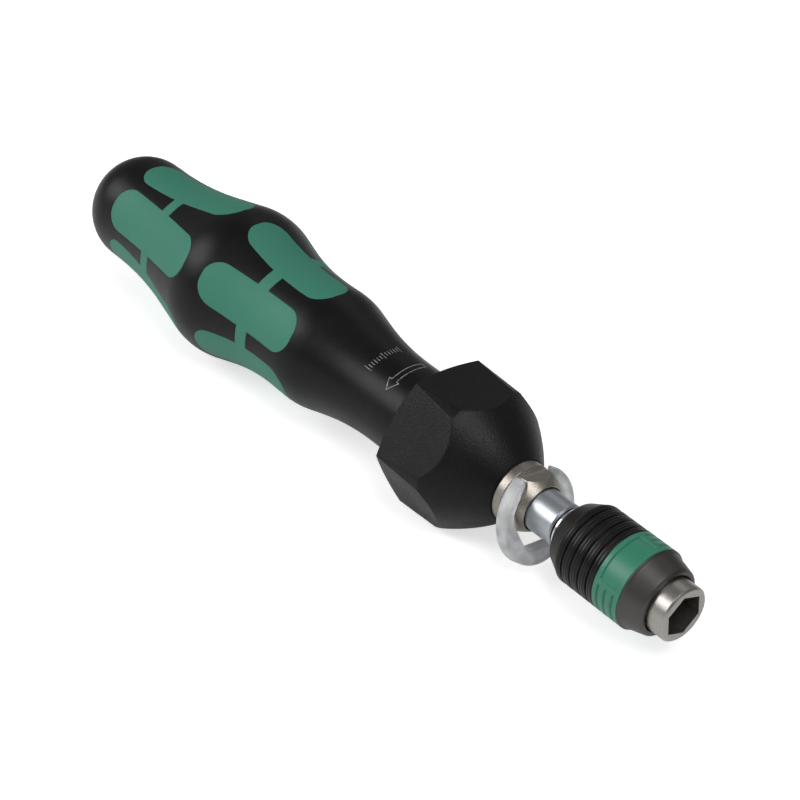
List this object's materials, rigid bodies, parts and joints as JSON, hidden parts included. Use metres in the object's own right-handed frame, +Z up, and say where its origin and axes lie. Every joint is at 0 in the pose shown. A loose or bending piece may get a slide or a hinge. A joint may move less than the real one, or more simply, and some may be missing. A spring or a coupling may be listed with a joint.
{
  "type": "torque screwdriver",
  "caption": "Adjustable torque screwdriver with a waisted two-tone grip, hexagonal nose, adjusting nut with a clear lock clip, and a quick-release hex bit chuck.",
  "frame": {"origin": "centre of the bit socket's mouth, on the tool's axis", "axes": "X runs along the tool's axis, out of the bit socket; Z is up as the tool lies on a flat of its nose; Y completes the right-handed frame"},
  "size_m": [0.1681, 0.032, 0.032],
  "materials": {
    "handle_black": "satin moulded plastic",
    "grip_green": "soft matte inlay",
    "nose_black": "grained black coating",
    "nut_nickel": "brushed nickel",
    "clip_clear": "clear plastic",
    "spindle_chrome": "satin chrome",
    "bushing_steel": "turned and polished steel",
    "sleeve_grey": "dark grey coating",
    "marker_green": "semi-matte green",
    "grip_sleeve_black": "semi-gloss black",
    "collar_black": "semi-gloss black",
    "inner_steel": "plain machined steel",
    "spring_steel": "drawn spring wire",
    "ball_steel": "hardened balls",
    "cage_brass": "plain brass"
  },
  "bodies": {
    "handle": {"handle_core": "handle_black", "grip_inlay_rear": "grip_green", "grip_inlay_front": "grip_green", "nose_housing": "nose_black", "clutch_tube": "inner_steel", "main_spring": "spring_steel", "thrust_balls": "ball_steel", "thrust_cage": "cage_brass", "thrust_washer": "inner_steel", "rear_plug": "inner_steel"},
    "spindle": {"drive_spindle": "spindle_chrome", "spindle_circlip": "spring_steel", "chuck_body": "bushing_steel", "stop_ring": "spring_steel", "sleeve_spring": "spring_steel", "ejector_spring": "spring_steel"},
    "cam": {"cam_disc": "inner_steel", "clutch_balls": "ball_steel"},
    "seat": {"spring_seat": "inner_steel"},
    "nut": {"adjusting_nut": "nut_nickel", "lock_clip": "clip_clear"},
    "release_sleeve": {"release_sleeve": "sleeve_grey", "rear_collar": "collar_black"},
    "grip_sleeve": {"grip_sleeve": "grip_sleeve_black", "marker_ring": "marker_green"},
    "lock_ball_left": {"lock_ball_left": "ball_steel"},
    "lock_ball_right": {"lock_ball_right": "ball_steel"},
    "ejector": {"ejector_pin": "inner_steel"}
  },
  "joints": [
    {"name": "spindle_turn", "type": "hinge", "parent": "handle", "child": "spindle", "pos_m": [0, 0, 0], "axis": [1, 0, 0], "continuous": true},
    {"name": "cam_lift", "type": "slide", "parent": "handle", "child": "cam", "axis": [1, 0, 0], "range_m": [0, 0.00045], "stiffness_N_per_m": 8000, "springref_m": -0.004},
    {"name": "seat_travel", "type": "slide", "parent": "handle", "child": "seat", "axis": [-1, 0, 0], "range_m": [0, 0.0015], "deforming": ["main_spring"]},
    {"name": "nut_turn", "type": "hinge", "parent": "seat", "child": "nut", "pos_m": [-0.045, 0, 0], "axis": [-1, 0, 0], "range_deg": [0, 720]},
    {"name": "sleeve_slide", "type": "slide", "parent": "spindle", "child": "release_sleeve", "axis": [1, 0, 0], "range_m": [0, 0.0025], "stiffness_N_per_m": 1500, "springref_m": -0.004, "deforming": ["sleeve_spring"]},
    {"name": "grip_turn", "type": "hinge", "parent": "release_sleeve", "child": "grip_sleeve", "pos_m": [-0.015, 0, 0], "axis": [1, 0, 0], "continuous": true},
    {"name": "lock_ball_left_slide", "type": "slide", "parent": "spindle", "child": "lock_ball_left", "axis": [0, 0.9751, 0.2215], "range_m": [0, 0.00055]},
    {"name": "lock_ball_right_slide", "type": "slide", "parent": "spindle", "child": "lock_ball_right", "axis": [0, -0.9751, -0.2215], "range_m": [0, 0.00055]},
    {"name": "ejector_slide", "type": "slide", "parent": "spindle", "child": "ejector", "axis": [-1, 0, 0], "range_m": [0, 0.003], "stiffness_N_per_m": 400, "springref_m": -0.003, "deforming": ["ejector_spring"]}
  ],
  "couplings": [
    {"joint": "seat_travel", "follows": "nut_turn", "m_per_rad": 0.00011937},
    {"joint": "lock_ball_left_slide", "follows": "sleeve_slide", "ratio": 0.22},
    {"joint": "lock_ball_right_slide", "follows": "sleeve_slide", "ratio": 0.22}
  ]
}
